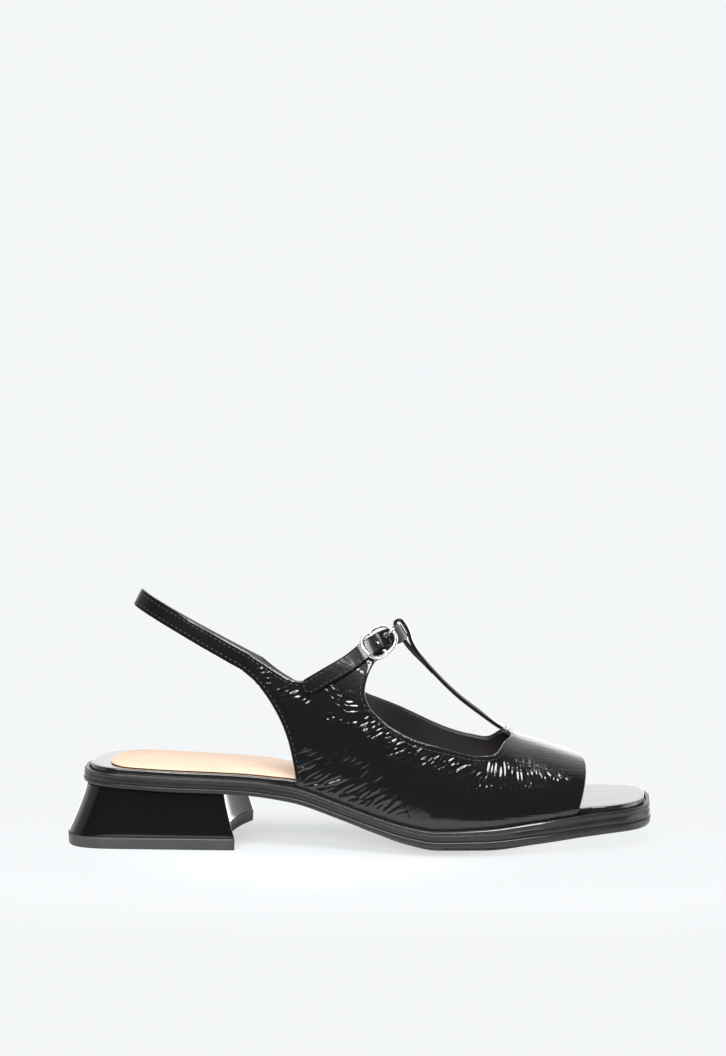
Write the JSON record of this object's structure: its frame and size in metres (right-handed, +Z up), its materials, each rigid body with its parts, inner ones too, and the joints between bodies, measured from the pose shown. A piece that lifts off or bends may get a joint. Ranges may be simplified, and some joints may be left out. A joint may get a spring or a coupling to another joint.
{
  "type": "slingback sandal",
  "caption": "Right-foot slingback shoe in black patent leather with an open square toe, T-bar, buckled instep strap and low flared block heel.",
  "frame": {"origin": "middle of the shoe's box on the floor that its heel and forefoot stand on", "axes": "+X towards the toe, +Y towards the inner side of the foot, +Z up"},
  "size_m": [0.2574, 0.0812, 0.1099],
  "materials": {
    "sole_rubber": "satin black rubber",
    "heel_patent": "smooth black patent",
    "top_piece_rubber": "satin black rubber",
    "insole_cover": "glossy black cover",
    "tan_leather": "matt tan leather",
    "upper_patent": "crinkled black patent",
    "strap_patent": "crinkled black patent",
    "buckle_metal": "polished",
    "prong_metal": "polished"
  },
  "bodies": {
    "root": {"outsole": "sole_rubber", "heel_block": "heel_patent", "heel_top_piece": "top_piece_rubber", "insole": "insole_cover", "sock": "tan_leather", "upper": "upper_patent", "instep_strap": "strap_patent", "buckle_frame": "buckle_metal", "buckle_prong": "prong_metal"}
  },
  "joints": []
}
